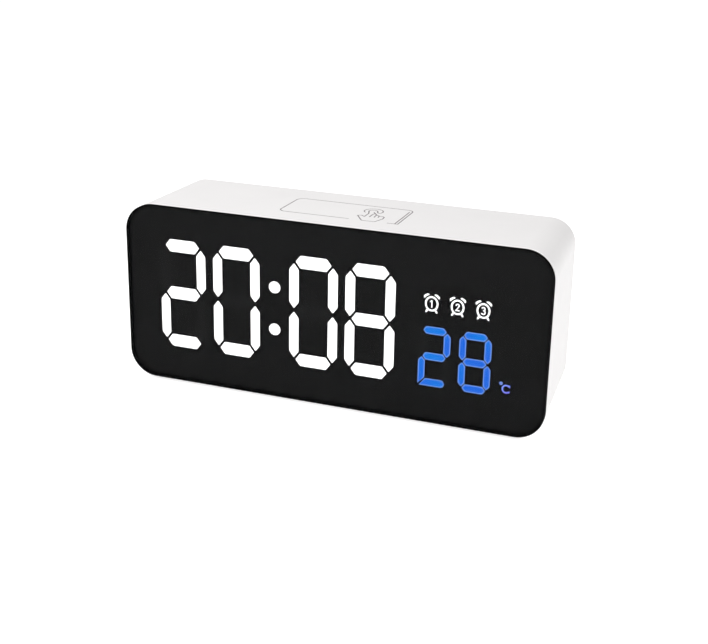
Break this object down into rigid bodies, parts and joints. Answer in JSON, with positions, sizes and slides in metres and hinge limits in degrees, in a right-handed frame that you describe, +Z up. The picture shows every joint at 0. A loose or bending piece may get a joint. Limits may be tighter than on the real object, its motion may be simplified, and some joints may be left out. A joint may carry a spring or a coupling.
{
  "type": "digital alarm clock",
  "caption": "Bedside alarm clock: rounded white case, black mirror front with lit segment digits, touch zone on top, rear buttons and battery bay.",
  "frame": {"origin": "on the surface the clock stands on, under the middle of its width and depth", "axes": "+Z up, -Y the way the mirror front faces, +X to the right of someone who reads the time"},
  "size_m": [0.165, 0.05, 0.071],
  "materials": {
    "mirror_acrylic": "gloss",
    "black_film": "satin",
    "black_tape": "matte",
    "white_abs": "satin",
    "cover_abs": "satin",
    "button_abs": "gloss",
    "door_abs": "satin",
    "reflector_white": "matte",
    "glow_white": "satin",
    "glow_blue": "satin",
    "diffuser_unlit": "satin",
    "board_green": "satin",
    "lamp_white": "gloss",
    "lamp_blue": "gloss",
    "epoxy_black": "matte",
    "tinned_metal": "satin",
    "nickel": "satin",
    "steel": "satin",
    "copper": "satin",
    "print_grey": "matte",
    "connector_nylon": "matte",
    "ribbon_grey": "satin",
    "capacitor_sleeve": "gloss",
    "switch_black": "satin",
    "bead_epoxy": "gloss",
    "cell_jacket": "gloss",
    "speaker_paper": "matte",
    "speaker_foam": "matte",
    "magnet_grey": "satin",
    "foot_rubber": "matte",
    "wire_red": "gloss",
    "wire_black": "gloss"
  },
  "bodies": {
    "housing": {"mirror_panel": "mirror_acrylic", "display_film": "black_film", "panel_adhesive": "black_tape", "segment_reflector": "reflector_white", "time_segments_lit": "glow_white", "time_segments_dark": "diffuser_unlit", "temperature_segments_lit": "glow_blue", "temperature_segments_dark": "diffuser_unlit", "colon_dots": "glow_white", "alarm_icons": "glow_white", "celsius_mark": "glow_blue", "display_board": "board_green", "white_lamps": "lamp_white", "blue_lamps": "lamp_blue", "controller_chip": "epoxy_black", "chip_pins": "tinned_metal", "clock_crystal": "tinned_metal", "smoothing_capacitor": "capacitor_sleeve", "ribbon_connectors": "connector_nylon", "ribbon_cable": "ribbon_grey", "housing_shell": "white_abs", "touch_zone_print": "print_grey", "touch_electrode": "copper", "rear_cover": "cover_abs", "button_board": "board_green", "tact_switches": "switch_black", "slider_case": "steel", "inlet_shell": "tinned_metal", "inlet_tongue": "epoxy_black", "thermometer": "bead_epoxy", "battery_tray": "cover_abs", "battery_contacts": "nickel", "battery_springs": "nickel", "speaker_gasket": "speaker_foam", "speaker_basket": "steel", "speaker_cone": "speaker_paper", "speaker_magnet": "magnet_grey", "cover_screws": "steel", "board_screws": "steel", "red_leads": "wire_red", "black_leads": "wire_black", "battery_cell_1": "cell_jacket", "battery_cell_2": "cell_jacket", "battery_cell_3": "cell_jacket", "foot_1": "foot_rubber", "foot_2": "foot_rubber", "foot_3": "foot_rubber", "foot_4": "foot_rubber"},
    "slider": {"slider_knob": "switch_black"},
    "battery_door": {"battery_door": "door_abs"},
    "button_set": {"button_set": "button_abs", "plunger_set": "switch_black"},
    "button_up": {"button_up": "button_abs", "plunger_up": "switch_black"},
    "button_down": {"button_down": "button_abs", "plunger_down": "switch_black"},
    "button_alarm": {"button_alarm": "button_abs", "plunger_alarm": "switch_black"},
    "button_light": {"button_light": "button_abs", "plunger_light": "switch_black"}
  },
  "joints": [
    {"name": "press_set", "type": "slide", "parent": "housing", "child": "button_set", "axis": [0, -1, 0], "range_m": [0, 0.0005], "stiffness_N_per_m": 1500, "springref_m": -0.0003},
    {"name": "press_up", "type": "slide", "parent": "housing", "child": "button_up", "axis": [0, -1, 0], "range_m": [0, 0.0005], "stiffness_N_per_m": 1500, "springref_m": -0.0003},
    {"name": "press_down", "type": "slide", "parent": "housing", "child": "button_down", "axis": [0, -1, 0], "range_m": [0, 0.0005], "stiffness_N_per_m": 1500, "springref_m": -0.0003},
    {"name": "press_alarm", "type": "slide", "parent": "housing", "child": "button_alarm", "axis": [0, -1, 0], "range_m": [0, 0.0005], "stiffness_N_per_m": 1500, "springref_m": -0.0003},
    {"name": "press_light", "type": "slide", "parent": "housing", "child": "button_light", "axis": [0, -1, 0], "range_m": [0, 0.0005], "stiffness_N_per_m": 1500, "springref_m": -0.0003},
    {"name": "slide_switch", "type": "slide", "parent": "housing", "child": "slider", "axis": [1, 0, 0], "range_m": [0, 0.003]},
    {"name": "door_hinge", "type": "hinge", "parent": "housing", "child": "battery_door", "pos_m": [-0.042, 0.0224, 0.0401], "axis": [1, 0, 0], "range_deg": [0, 92]}
  ]
}
